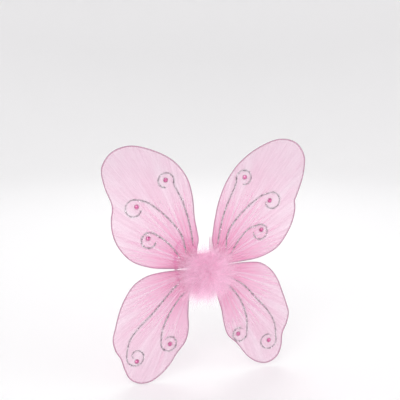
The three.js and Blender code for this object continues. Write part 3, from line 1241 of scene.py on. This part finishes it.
    def _flakes(self, line: Array, swell: Array, rise: float, count: int) -> tuple[Array, list, Array]:
        """Strews cut flakes over a bead of glue, in clumps.

        Args:
            line: the bead's points along the nylon.
            swell: the bead's size at each of them.
            rise: the bead's full height.
            count: how many flakes to strew.

        Returns:
            The vertices, the faces and, for each vertex, the flake's painted glint level and its gloss.
        """
        rng, steps = self.rng, np.arange(len(line))
        up, across = carried_frames(line, FORWARD)
        onward = np.gradient(line, axis=0)
        clumps = 0.06 + np.sin(steps * 0.6 + 1.6 * np.sin(steps * 0.21)) ** 4
        clumps = clumps + rng.uniform(0, 0.4, len(line))
        at = rng.choice(len(line), count, p=clumps / clumps.sum())
        # Painted glints: runs of bright and dark flakes along the line stand in for flakes that catch or miss
        # the light.
        shade = 0.42 + 0.55 * np.sin(steps * 0.95 + 2.4 * np.sin(steps * 0.31))
        shade = shade + rng.normal(0, 0.15, len(line))
        off = rng.normal(0, 0.72, count)
        height = np.sqrt(np.clip(1 - off**2, 0.06, 1)) * rise * 1.02 * swell[at]
        aside = off * self.glue_half_width * swell[at]
        centres = line[at] + across[at] * aside[:, None] + up[at] * height[:, None]
        centres = centres + onward[at] * rng.uniform(-0.5, 0.5, count)[:, None]
        lean_aside = rng.normal(0, 0.55, count)[:, None]
        lean_ahead = rng.normal(0, 0.55, count)[:, None]
        tilt = unit(up[at] + across[at] * lean_aside + unit(onward)[at] * lean_ahead)
        turn = unit(np.cross(tilt, rng.normal(0, 1, (count, 3))))
        other = np.cross(tilt, turn)
        size = (0.24 + 0.36 * rng.uniform(0, 1, count) ** 2.5)[:, None] * MM
        sides = self.flake_sides
        angles = [k * math.tau / sides for k in range(sides)]
        corners = [centres + size * (turn * math.cos(a) + other * math.sin(a)) for a in angles]
        # Each flake's painted glint level: near 1 paints it white as a glint, near 0 near-black as a dark
        # reflection.
        tone = np.clip(shade[at] + rng.normal(0, 0.28, count), 0, 1)
        glint_and_gloss = np.stack([tone, rng.uniform(0, 1, count)], axis=1)
        faces = [tuple(range(i * sides, (i + 1) * sides)) for i in range(count)]
        return np.stack(corners, axis=1).reshape(-1, 3), faces, np.repeat(glint_and_gloss, sides, axis=0)

    def build_swirl(self, node: str) -> bpy.types.Object:
        """Makes one glitter line: a lumpy glue bead with flakes lying in it.

        Args:
            node: the swirl's CAD node.

        Returns:
            The finished piece.
        """
        lo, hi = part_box(node)
        ridge = front_line(node)
        length = float(np.linalg.norm(np.diff(ridge, axis=0), axis=1).sum())
        line = smooth_line(ridge, int(length / self.glue_step))
        line[:, 1] = hi.y + 0.1 * MM
        steps = np.arange(len(line))
        lumps = 0.16 * np.sin(steps * 0.9) * np.sin(steps * 0.37 + 1)
        swell = 1 + lumps + self.rng.normal(0, 0.06, len(line))
        ends = smooth_step(steps / 14) * smooth_step((len(line) - 1 - steps) / 3)
        swell = swell * (0.35 + 0.65 * ends)
        rise = hi.y - lo.y
        angles = np.linspace(0, math.pi, 7)
        bead = np.stack([rise * 1.05 * np.sin(angles), self.glue_half_width * np.cos(angles)], axis=1)
        parts = MeshParts()
        parts.add(*sweep(line, bead, FORWARD, swell))
        flakes, faces, glint_and_gloss = self._flakes(line, swell, rise, int(length / self.flake_pitch))
        parts.add(flakes, faces, 1, glint_and_gloss)
        materials = [self.wardrobe["glitter_glue"], self.wardrobe["glitter_flakes"]]
        piece = parts.build(node.replace("swirl_", "glitter_"), materials)
        self.wardrobe.dress(piece, "glitter_glue")
        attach(piece, self.lobe.body)
        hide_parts(node)
        return piece

    def _facets(self, centre: Array, radius: float, height: float) -> tuple[Array, list, list]:
        """Cuts a stone: a girdle, two rows of facets and a table.

        Args:
            centre: the middle of the stone's flat back.
            radius: the girdle's radius.
            height: how far the table stands off the back.

        Returns:
            The vertices, the faces and a tone for each face, with a few random facets painted pale as
            highlights.
        """
        sides, turn = self.gem_sides, self.rng.uniform(0, math.tau)
        vertices = []
        for share, rise, shift in self.gem_rings:
            for k in range(sides):
                angle = turn + (k + shift) / sides * math.tau
                spoke = np.array([math.cos(angle), 0.0, math.sin(angle)])
                vertices.append(centre + spoke * radius * share + FORWARD * height * rise)
        faces = [tuple(range(3 * sides, 4 * sides))[::-1], tuple(range(sides))]
        # The table, back and girdle take set tones; further down, random facets get painted highlights.
        tones = [0.3, 0.2]
        for k in range(sides):
            n = (k + 1) % sides
            faces.append((k, n, sides + n, sides + k))
            faces.append((sides + k, sides + n, 2 * sides + k))
            faces.append((sides + n, 2 * sides + n, 2 * sides + k))
            faces.append((2 * sides + k, 3 * sides + n, 3 * sides + k))
            faces.append((2 * sides + k, 2 * sides + n, 3 * sides + n))
            # Mostly low tones with a few near 1: painted highlights on random facets.
            tones += [0.1, *(self.rng.uniform(0.0, 1.0, 4) ** 2)]
        return np.array(vertices), faces, tones

    def build_gem(self, node: str) -> bpy.types.Object:
        """Makes one stone in a ring of dried glue.

        Args:
            node: the stone's CAD node.

        Returns:
            The finished piece.
        """
        lo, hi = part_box(node)
        centre = np.array([(lo.x + hi.x) / 2, hi.y, (lo.z + hi.z) / 2])
        radius = (hi.z - lo.z) / 2
        vertices, faces, tones = self._facets(centre, radius, hi.y - lo.y)
        parts = MeshParts()
        # Each face's tone mixes deep magenta with the painted highlight's pale pink.
        for face, tone in zip(faces, tones):
            parts.add(vertices[list(face)], [tuple(range(len(face)))], 0, np.full((len(face), 2), tone))
        around = np.linspace(0, math.tau, 25)[:-1]
        spoke = np.stack([np.cos(around), np.zeros(24), np.sin(around)], axis=1)
        ring = centre + spoke * radius * 1.04 + FORWARD * 0.2 * MM
        bead = []
        for k in range(6):
            angle = k / 6 * math.tau
            bead.append(ring + self.gem_glue_radius * (spoke * math.cos(angle) + FORWARD * math.sin(angle)))
        bead = np.stack(bead, axis=1)
        closed = np.concatenate([bead, bead[:1]])
        parts.add(closed.reshape(-1, 3), grid_faces(25, 6, wrap=True), 1)
        materials = [self.wardrobe["magenta_stone"], self.wardrobe["glitter_glue"]]
        piece = parts.build(node.replace("gem_", "stone_"), materials, smooth=False)
        self.wardrobe.dress(piece, "magenta_stone")
        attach(piece, self.lobe.body)
        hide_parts(node)
        return piece

    def build(self) -> list[bpy.types.Object]:
        """Makes every piece of the lobe.

        Returns:
            The pieces, the wire first.
        """
        pieces = [self.build_wire(), self.build_sleeve(), self.build_tie(), self.build_tail()]
        for node in sorted(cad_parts):
            if node.startswith(f"swirl_{self.lobe.label}"):
                pieces.append(self.build_swirl(node))
            if node.startswith(f"gem_{self.lobe.label}"):
                pieces.append(self.build_gem(node))
        return pieces


# ---------------------------------------------------------------- the middle


@dataclass
class MarabouPuff:
    """The fluff over the middle: plumes that spread from a short core, each with down along its quill."""

    wardrobe: Wardrobe
    plumes: int = 900
    wisps: int = 380
    crown: int = 170
    lift: float = 4 * MM
    reach_side: float = 62 * MM
    reach_up: float = 52 * MM
    reach_down: float = 52 * MM
    loose_until: float = -33 * MM
    pressed_span: float = 14.5 * MM
    barbs: int = 13
    quill_steps: int = 7
    barb_steps: int = 6
    blend_start: float = 6 * MM
    blend_end: float = 22 * MM

    def __post_init__(self) -> None:
        """Reads the core's place from its CAD node."""
        self.lo, self.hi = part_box("marabou_puff")
        self.centre = np.array((self.lo + self.hi) / 2)
        self.heart = self.centre + np.array([-1.5 * MM, 0, self.lift])
        self.rng = np.random.default_rng(20)

    def build_core(self) -> bpy.types.Object:
        """Makes the uneven, matted heart of the puff.

        Returns:
            The finished piece.
        """
        rows, columns = 26, 36
        half = np.array(self.hi - self.lo) / 2 * np.array([0.7, 0.45, 0.66])
        v = np.linspace(0.02, math.pi - 0.02, rows)[:, None]
        u = (np.arange(columns) / columns * math.tau)[None, :]
        lumps = 1 + 0.07 * np.sin(5 * u + 3 * v) * np.sin(6 * v) + self.rng.normal(0, 0.03, (rows, columns))
        ball = [np.sin(v) * np.cos(u), np.sin(v) * np.sin(u), np.cos(v) + 0 * u]
        points = np.stack(ball, axis=-1) * lumps[..., None]
        places = (points * half + self.centre).reshape(-1, 3)
        faces = grid_faces(rows, columns, wrap=True)
        faces += [tuple(reversed(range(columns))), tuple(range((rows - 1) * columns, rows * columns))]
        parts = MeshParts()
        parts.add(places, faces, 0, np.tile([0.5, 0.1], (rows * columns, 1)))
        piece = parts.build("marabou_core", [self.wardrobe["marabou_down"]])
        self.wardrobe.dress(piece, "marabou_down")
        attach(piece, HUB)
        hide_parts("marabou_puff")
        return piece

    def _fibre(
        self, parts: MeshParts, line: Array, width: Array, facing: Array, tone: float, start: float
    ) -> None:
        """Adds one flat fibre.

        Args:
            parts: the mesh to add to.
            line: the fibre's points.
            width: its full width at each point.
            facing: the direction that its flat side faces.
            tone: a number that sets its shade apart.
            start: how far along its plume it grows, from 0 to 1.
        """
        ahead = np.maximum(self.loose_until - line[:, 1], 0) / self.pressed_span
        line[:, 1] = np.clip(line[:, 1], self.loose_until, WING_Y - 1.6 * MM)
        line[:, 1] -= self.pressed_span * np.tanh(ahead)
        across = unit(np.cross(np.gradient(line, axis=0), facing)) * width[:, None] / 2
        vertices = np.stack([line - across, line + across], axis=1).reshape(-1, 3)
        n = len(line)
        along = start + (1 - start) * np.linspace(0, 1, n)
        uvs = np.stack([np.full(n * 2, tone), np.repeat(along, 2)], axis=1)
        faces = [(2 * i, 2 * i + 1, 2 * i + 3, 2 * i + 2) for i in range(n - 1)]
        parts.add(vertices, faces, 0, uvs)

    def _plume(self, parts: MeshParts, angle: float, rise: float, share: float) -> None:
        """Adds one plume: a curved quill with long, soft barbs on both sides.

        Args:
            parts: the mesh to add to.
            angle: where round the puff the plume points.
            rise: how far it stands off the wings, from 0, flat, to 1, straight out.
            share: the part of the puff's reach that the plume takes up.
        """
        rng = self.rng
        outward = np.array([math.cos(angle), 0.0, math.sin(angle)])
        reach_z = self.reach_up if outward[2] > 0 else self.reach_down
        reach = math.hypot(outward[0] * self.reach_side, outward[2] * reach_z)
        root = self.heart + np.array([rng.normal(0, 4), rng.uniform(0, 14) * (1 - rise) - 5 * rise, 0]) * MM
        root[2] += rng.uniform(-0.5, 0.5) * 44 * MM * (1 - 0.75 * abs(outward[2]))
        left = max(reach - abs((root - self.heart) @ outward), 14 * MM)
        length = left * share * (1 - 0.5 * rise)
        t = np.linspace(0, 1, self.quill_steps)
        lean = unit(outward + np.array([0, -1.3 * rise, 0]) + rng.normal(0, 0.12, 3))
        line = root + lean * length * t[:, None]
        line[:, 1] += 9 * MM * rise * t**2 + rng.uniform(-3, 5) * MM * np.sin(math.pi * t) * (1 - rise)
        line[:, 2] -= 3.0 * MM * t**2
        sway = unit(np.cross(lean, np.array([0.0, -1.0, 0.05])))
        line += sway * (rng.normal(0, 3.6) * t**2 + 0.8 * np.sin(t * rng.uniform(5, 9)))[:, None] * MM
        tone = rng.uniform()
        facing = unit(FORWARD + rng.normal(0, 0.3, 3))
        self._fibre(parts, line.copy(), (0.30 - 0.2 * t) * MM, facing, tone, 0.0)
        self._barbs(parts, line, sway, facing, tone)

    def _barbs(self, parts: MeshParts, line: Array, sway: Array, facing: Array, tone: float) -> None:
        """Adds the soft barbs on both sides of one quill.

        Args:
            parts: the mesh to add to.
            line: the quill's points.
            sway: the direction across the plume.
            facing: the direction that the barbs' flat sides face.
            tone: the number that sets the plume's shade apart.
        """
        rng = self.rng
        tangents = unit(np.gradient(line, axis=0))
        u = np.linspace(0, 1, self.barb_steps)[:, None]
        for k in range(self.barbs):
            place = min(max(0.05 + 0.95 * (k + rng.uniform(-0.5, 0.5)) / self.barbs, 0), 1)
            spot = place * (self.quill_steps - 1)
            low = min(int(spot), self.quill_steps - 2)
            at = line[low] + (line[low + 1] - line[low]) * (spot - low)
            ahead = tangents[low]
            for hand in (-1, 1):
                side = sway * hand * rng.uniform(0.3, 0.9)
                out = unit(side + ahead * rng.uniform(0.7, 1.5) + rng.normal(0, 0.25, 3))
                fullness = 0.6 + 0.5 * math.sin(math.pi * min(place + 0.15, 1))
                size = rng.uniform(9.0, 19.0) * MM * fullness
                curl = unit(rng.normal(0, 1, 3))
                wave = 0.12 * np.sin(u * rng.uniform(3.5, 7.5)) + 0.1 * u**2
                barb = at + out * size * u + (ahead * 0.25 * u**2 + curl * wave) * size
                barb[:, 2] -= 1.5 * MM * u[:, 0] ** 2
                self._fibre(parts, barb, (0.23 - 0.17 * u[:, 0]) * MM, facing, tone, place * 0.6)

    def build_plumes(self) -> list[bpy.types.Object]:
        """Makes the plumes in five pieces: one for each lobe that they lie on, and one in the middle.

        Returns:
            The five pieces, the middle one last.
        """
        groups: dict[Lobe | None, MeshParts] = {lobe: MeshParts() for lobe in Lobe}
        groups[None] = MeshParts()
        low = [0.35] * self.plumes + [0.8] * self.wisps + [0.4] * self.crown
        high = [0.95] * self.plumes + [1.12] * self.wisps + [0.9] * self.crown
        rises = [*self.rng.beta(0.9, 3.4, self.plumes), *np.zeros(self.wisps)]
        rises += list(self.rng.uniform(0.4, 1.0, self.crown))
        for k, (least, most, rise) in enumerate(zip(low, high, rises)):
            angle = (k * GOLDEN_ANGLE) % math.tau
            share = float(self.rng.uniform(least, most))
            across = math.cos(angle) * (1 - rise)
            lobe = None
            if abs(across) > 0.16:
                key = (1 if across > 0 else -1, 1 if math.sin(angle) > 0 else -1)
                lobe = next(one for one in Lobe if (one.side, one.level) == key)
            self._plume(groups[lobe], angle, rise, share)
        pieces = []
        for lobe, parts in groups.items():
            label = "middle" if lobe is None else lobe.label
            piece = parts.build(f"marabou_plumes_{label}", [self.wardrobe["marabou_down"]])
            self.wardrobe.dress(piece, "marabou_down")
            if lobe is None:
                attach(piece, HUB)
            else:
                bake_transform(piece)
            pieces.append(piece)
        return pieces

    def build(self) -> list[bpy.types.Object]:
        """Makes the core and the plumes."""
        return [self.build_core(), *self.build_plumes()]


@dataclass
class RibbonBinding:
    """The ribbon that is wound round the four wire tails, in overlapping turns."""

    wardrobe: Wardrobe
    turns: int = 8
    overlap: float = 0.45 * MM
    squareness: float = 3.2

    def build(self) -> bpy.types.Object:
        """Makes the wound ribbon with its free end tucked down.

        Returns:
            The finished piece.
        """
        lo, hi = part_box("centre_binding")
        centre = np.array((lo + hi) / 2)
        half_x, half_y, height = (hi.x - lo.x) / 2, (hi.y - lo.y) / 2, hi.z - lo.z
        rows, columns = self.turns * 9 + 1, 48
        around = np.arange(columns) / columns * math.tau
        power = 2 / self.squareness
        across = np.sign(np.cos(around)) * np.abs(np.cos(around)) ** power
        depth = np.sign(np.sin(around)) * np.abs(np.sin(around)) ** power
        points = np.zeros((rows, columns, 3))
        for row in range(rows):
            z = lo.z + height * row / (rows - 1)
            lean = (z - lo.z) / height * self.turns + 0.35 * np.sin(around)
            lap = 1 - (lean % 1)
            shrink = 1 - (self.overlap / half_y) * (1 - lap**0.5)
            points[row, :, 0] = centre[0] + half_x * across * shrink
            points[row, :, 1] = centre[1] + half_y * depth * shrink
            points[row, :, 2] = z
        faces = grid_faces(rows, columns, wrap=True)
        faces += [tuple(reversed(range(columns))), tuple(range((rows - 1) * columns, rows * columns))]
        parts = MeshParts()
        parts.add(points.reshape(-1, 3), faces)
        piece = parts.build("ribbon_binding", [self.wardrobe["satin_ribbon"]])
        self.wardrobe.dress(piece, "satin_ribbon")
        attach(piece, HUB)
        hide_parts("centre_binding")
        return piece


@dataclass
class BackPad:
    """The felt pad that lies against the back: two layers, sewn round the edge over the strap ends."""

    wardrobe: Wardrobe
    corner: float = 8 * MM
    stitch_pitch: float = 3.4 * MM
    stitch_inset: float = 3.2 * MM
    stitch_radius: float = 0.25 * MM
    strap_x: float = 15 * MM
    box_inset: float = 8 * MM
    box_half: tuple[float, float] = (2.6 * MM, 2.8 * MM)
    # From the face's middle to half-way down the side: millimetres in from the edge, share of the thickness.
    edge_profile: tuple[tuple[float, float], ...] = (
        (16, 0.0), (9, 0.0), (4.6, 0.05), (3.2, 0.12), (1.8, 0.05), (0.5, 0.08), (0.08, 0.26), (0.35, 0.44),
        (0.6, 0.5),
    )

    def __post_init__(self) -> None:
        """Reads the pad's box."""
        self.lo, self.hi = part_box("back_pad")

    def _outline(self, inset: float, count: int) -> Array:
        """Follows the pad's rounded edge.

        Args:
            inset: how far inside the edge to stay.
            count: how many points to return.

        Returns:
            The points as x and z, evenly spaced round the pad.
        """
        half_x, half_z = (self.hi.x - self.lo.x) / 2, (self.hi.z - self.lo.z) / 2
        corner = self.corner - inset
        rough = []
        for quarter, (sx, sz) in enumerate(((1, 1), (-1, 1), (-1, -1), (1, -1))):
            for step in range(13):
                angle = math.pi / 2 * (quarter + step / 12)
                x = sx * (half_x - self.corner) + corner * math.cos(angle)
                z = sz * (half_z - self.corner) + corner * math.sin(angle)
                rough.append((x, 0.0, z))
        rough.append(rough[0])
        rough = np.array(rough)
        length = np.concatenate([[0], np.cumsum(np.linalg.norm(np.diff(rough, axis=0), axis=1))])
        wanted = np.arange(count) / count * length[-1]
        return np.stack([np.interp(wanted, length, rough[:, axis]) for axis in (0, 2)], axis=1)

    def build_felt(self) -> bpy.types.Object:
        """Makes the two felt layers as one soft-edged pad with a seam groove round its side.

        Returns:
            The finished piece.
        """
        count = 120
        thick = self.hi.y - self.lo.y
        half, round_until = (self.hi.x - self.lo.x) / 2, self.corner * 0.98
        rng = np.random.default_rng(4)
        rings = [(inset * MM, self.hi.y - depth * thick) for inset, depth in self.edge_profile]
        rings += [(inset * MM, self.lo.y + depth * thick) for inset, depth in self.edge_profile[-2::-1]]
        parts = MeshParts()
        points = []
        for inset, y in rings:
            outline = self._outline(min(inset, round_until), count)
            outline = outline * min((half - inset) / (half - round_until), 1)
            if inset < 2 * MM:
                outline = outline + rng.normal(0, 0.05 * MM, count)[:, None]
            points.append(np.stack([outline[:, 0], np.full(count, y), outline[:, 1]], axis=1))
        faces = grid_faces(len(rings), count, wrap=True)
        faces += [tuple(reversed(range(count))), tuple(range((len(rings) - 1) * count, len(rings) * count))]
        parts.add(np.concatenate(points), faces)
        piece = parts.build("felt_pad", [self.wardrobe["needled_felt"]])
        self.wardrobe.dress(piece, "needled_felt")
        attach(piece, HUB)
        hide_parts("back_pad")
        return piece

    def _boxes(self) -> list[tuple[Array, Array]]:
        """Lists the stitches of the crossed boxes that hold the four strap ends.

        Returns:
            Each stitch's two ends, as x and z.
        """
        wide, high = self.box_half
        places = ((-wide, -high), (wide, -high), (wide, high), (-wide, high))
        corners = [np.array(place) for place in places]
        lines = [(corners[k], corners[(k + 1) % 4]) for k in range(4)]
        lines += [(corners[0], corners[2]), (corners[1], corners[3])]
        stitches = []
        for side in (-1, 1):
            for level in (-1, 1):
                centre = np.array([side * self.strap_x, level * (self.hi.z - self.box_inset)])
                for a, b in lines:
                    for k in range(3):
                        start = centre + a + (b - a) * (k + 0.14) / 3
                        stitches.append((start, centre + a + (b - a) * (k + 0.86) / 3))
        return stitches

    def build_stitches(self) -> bpy.types.Object:
        """Makes the running stitch round the pad and the crossed boxes over the strap ends.

        Returns:
            The finished piece.
        """
        parts = MeshParts()
        straight = 2 * ((self.hi.x - self.lo.x) + (self.hi.z - self.lo.z)) - 8 * self.corner
        count = int((straight + math.tau * self.corner) / self.stitch_pitch)
        line = self._outline(self.stitch_inset, count * 2)
        pairs = [(line[2 * k], line[2 * k + 1]) for k in range(count)] + self._boxes()
        for a, b in pairs:
            t = np.linspace(0, 1, 6)
            for y, out in ((self.hi.y, 1), (self.lo.y, -1)):
                arch = y - out * 0.32 * MM + out * 0.3 * MM * np.sin(math.pi * t)
                route = np.stack([a[0] + (b[0] - a[0]) * t, arch, a[1] + (b[1] - a[1]) * t], axis=1)
                parts.add(*sweep(route, round_section(self.stitch_radius, 6), BACKWARD))
        piece = parts.build("pad_stitches", [self.wardrobe["wound_thread"]])
        self.wardrobe.dress(piece, "wound_thread")
        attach(piece, HUB)
        return piece

    def build(self) -> list[bpy.types.Object]:
        """Makes the felt and its stitches."""
        return [self.build_felt(), self.build_stitches()]


@dataclass
class ArmStrap:
    """One flat elastic loop, sewn into the pad's top and bottom edges."""

    wardrobe: Wardrobe
    side: int
    width: float = 7 * MM
    thickness: float = 1.0 * MM
    splay: float = math.radians(20)
    sewn_x: float = 15 * MM
    sewn_y: float = -1.6 * MM
    bend_length: float = 13 * MM
    steps: int = 240
    ribs: int = 7
    # The loop's line, as millimetres behind the sewn ends and millimetres above the pad's middle.
    route: tuple[tuple[float, float], ...] = (
        (0, 14), (0, 19), (0, 24), (1.5, 33), (10, 42), (25, 44.5), (40, 40), (52, 27), (57, 6),
        (55, -18), (46, -38), (28, -50), (9, -46), (1, -34), (0, -24), (0, -19), (0, -14),
    )

    def build(self) -> bpy.types.Object:
        """Makes the strap, with a ribbed face and rounded, corded edges.

        Returns:
            The finished piece.
        """
        label = "left" if self.side < 0 else "right"
        out = np.array([self.side * math.sin(self.splay), math.cos(self.splay), 0.0])
        flat = np.cross(out, np.array([0.0, 0.0, 1.0]))
        sewn = np.array([self.side * self.sewn_x, self.sewn_y, 0.0])
        points = np.array([sewn + out * y * MM + np.array([0, 0, z * MM]) for y, z in self.route])
        line = smooth_line(points, self.steps)
        places = np.linspace(-1, 1, self.ribs * 4 + 1)
        crown = 0.5 * self.thickness * (0.82 + 0.18 * np.cos(places * self.ribs * math.pi))
        crown[[0, -1]] = 0.12 * self.thickness
        upper = np.stack([places * self.width / 2, crown], axis=1)
        lower = np.stack([places[::-1] * self.width / 2, -crown[::-1]], axis=1)
        section = np.concatenate([upper, lower])
        vertices, faces = sweep(line, section, flat)
        across = np.tile(np.linspace(0, 1, len(section)), len(line))
        along = np.repeat(np.linspace(0, 1, len(line)), len(section))
        parts = MeshParts()
        parts.add(vertices, faces, 0, np.stack([across, along], axis=1))
        piece = parts.build(f"elastic_strap_{label}", [self.wardrobe["flat_elastic"]])
        self.wardrobe.dress(piece, "flat_elastic")
        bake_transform(piece)
        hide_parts(f"arm_strap_{label}")
        return piece


# ---------------------------------------------------------------- the studio


@dataclass
class Studio:
    """The pale round floor with its raised rim, the soft lights and the camera."""

    azimuth: float = math.radians(-21)
    elevation: float = math.radians(12)
    distance: float = 1.6625
    lens: float = 85.5
    aim_right: float = -0.0096
    aim_up: float = 0.1172

    def build_camera(self) -> bpy.types.Object:
        """Places the camera to the left of the wings and a little above them.

        Returns:
            The camera, which the scene looks through.
        """
        back = Vector((
            math.sin(self.azimuth) * math.cos(self.elevation),
            -math.cos(self.azimuth) * math.cos(self.elevation),
            math.sin(self.elevation),
        ))
        turn = back.to_track_quat("Z", "Y")
        right, up = turn @ Vector((1, 0, 0)), turn @ Vector((0, 1, 0))
        data = bpy.data.cameras.new("camera")
        data.lens = self.lens
        data.sensor_width = 36
        camera = bpy.data.objects.new("camera", data)
        aim = Vector((0, WING_Y, 0)) + right * self.aim_right + up * self.aim_up
        camera.location = aim + back * self.distance
        camera.rotation_mode = "QUATERNION"
        camera.rotation_quaternion = turn
        bpy.context.scene.collection.objects.link(camera)
        bpy.context.scene.camera = camera
        return camera

    def build_floor(self) -> bpy.types.Object:
        """Makes a round floor whose rim rises into a low wall in one curve, with no edge to be seen.

        Returns:
            The floor.
        """
        floor = cad_box[0].z - 1.5 * MM
        reach, bend, height, columns = 3.0, 1.0, 2.6, 96
        angles = np.linspace(0, math.pi / 2, 16)
        profile = [(radius, floor) for radius in (0.02, 0.5, 1.0, 1.5)]
        profile += [(reach - bend + bend * math.sin(a), floor + bend * (1 - math.cos(a))) for a in angles]
        profile.append((reach, floor + height))
        around = np.arange(columns) / columns * math.tau
        vertices = [(r * math.cos(turn), r * math.sin(turn), z) for r, z in profile for turn in around]
        faces = grid_faces(len(profile), columns, wrap=True)
        faces.append(tuple(reversed(range(columns))))
        parts = MeshParts()
        parts.add(np.array(vertices), faces)
        material = bpy.data.materials.new("pale_paper")
        material.use_nodes = True
        shader = material.node_tree.nodes["Principled BSDF"]
        shader.inputs["Base Color"].default_value = (0.93, 0.925, 0.93, 1)
        shader.inputs["Roughness"].default_value = 0.9
        paper = parts.build("studio_floor", [material])
        return paper

    def build_lights(self) -> None:
        """Sets a large key, a fill and a back light, and an even pale surround."""
        lamps = (
            ("key_light", (-1.3, -1.9, 1.5), 1.6, 23.0),
            ("fill_light", (1.7, -1.5, 0.7), 1.8, 9.0),
            ("back_light", (0.5, 1.3, 1.5), 1.4, 12.0),
        )
        for name, place, size, power in lamps:
            data = bpy.data.lights.new(name, "AREA")
            data.shape = "DISK"
            data.size = size
            data.energy = power
            lamp = bpy.data.objects.new(name, data)
            lamp.location = place
            lamp.rotation_mode = "QUATERNION"
            lamp.rotation_quaternion = Vector(place).to_track_quat("Z", "Y")
            lamp.visible_camera = False
            bpy.context.scene.collection.objects.link(lamp)
        world = bpy.data.worlds.new("surround")
        world.use_nodes = True
        world.node_tree.nodes["Background"].inputs["Color"].default_value = (1, 1, 1, 1)
        world.node_tree.nodes["Background"].inputs["Strength"].default_value = 0.66
        bpy.context.scene.world = world
        bpy.context.scene.view_settings.view_transform = "Standard"

    def build(self) -> None:
        """Makes the camera, the floor and the lights."""
        self.build_camera()
        self.build_floor()
        self.build_lights()


def main() -> None:
    """Builds the wings in order and reports each piece."""
    logging.basicConfig(level=logging.INFO, format="%(message)s")
    Studio().build()
    wardrobe = Wardrobe()
    pieces: list[bpy.types.Object] = []
    for lobe in Lobe:
        pieces += WingLobe(lobe, wardrobe).build()
    pieces += MarabouPuff(wardrobe).build()
    pieces.append(RibbonBinding(wardrobe).build())
    pieces += BackPad(wardrobe).build()
    pieces += [ArmStrap(wardrobe, side).build() for side in (-1, 1)]
    for piece in pieces:
        log.info("%s: %d faces", piece.name, len(piece.data.polygons))


if __name__ == "__main__":
    main()
